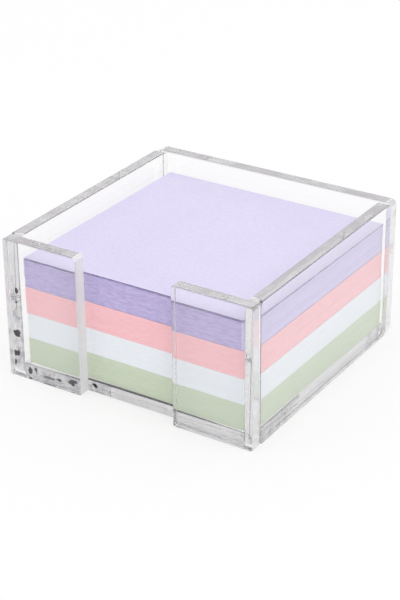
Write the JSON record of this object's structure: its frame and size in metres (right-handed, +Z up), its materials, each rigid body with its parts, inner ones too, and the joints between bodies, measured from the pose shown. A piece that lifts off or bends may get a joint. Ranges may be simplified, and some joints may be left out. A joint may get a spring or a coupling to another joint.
{
  "type": "memo pad holder",
  "caption": "Open square desk holder of clear acrylic plates with a finger notch in the front, holding a stack of pastel note pads.",
  "frame": {"origin": "middle of the underside of the tray", "axes": "+Z up out of the tray's mouth, -Y out through the finger notch at the front, +X to the right seen from the front"},
  "size_m": [0.086, 0.086, 0.0455],
  "materials": {
    "clear_acrylic": "clear polished acrylic sheet",
    "green_paper": "matt uncoated pale green paper",
    "white_paper": "matt uncoated white paper",
    "pink_paper": "matt uncoated pale pink paper",
    "lavender_paper": "matt uncoated pale lavender paper"
  },
  "bodies": {
    "holder": {"base_plate": "clear_acrylic", "back_wall": "clear_acrylic", "left_wall": "clear_acrylic", "right_wall": "clear_acrylic", "front_left_wing": "clear_acrylic", "front_right_wing": "clear_acrylic"},
    "green_pad": {"green_pad": "green_paper"},
    "white_pad": {"white_pad": "white_paper"},
    "pink_pad": {"pink_pad": "pink_paper"},
    "lavender_pad": {"lavender_pad": "lavender_paper"},
    "top_note": {"top_note": "lavender_paper"}
  },
  "joints": [
    {"name": "green_pad_lift", "type": "slide", "parent": "holder", "child": "green_pad", "axis": [0, 0, 1], "range_m": [0, 0.0455]},
    {"name": "white_pad_lift", "type": "slide", "parent": "green_pad", "child": "white_pad", "axis": [0, 0, 1], "range_m": [0, 0.037]},
    {"name": "pink_pad_lift", "type": "slide", "parent": "white_pad", "child": "pink_pad", "axis": [0, 0, 1], "range_m": [0, 0.0288]},
    {"name": "lavender_pad_lift", "type": "slide", "parent": "pink_pad", "child": "lavender_pad", "axis": [0, 0, 1], "range_m": [0, 0.02]},
    {"name": "top_note_lift", "type": "slide", "parent": "lavender_pad", "child": "top_note", "axis": [0, 0, 1], "range_m": [0, 0.0109]}
  ]
}
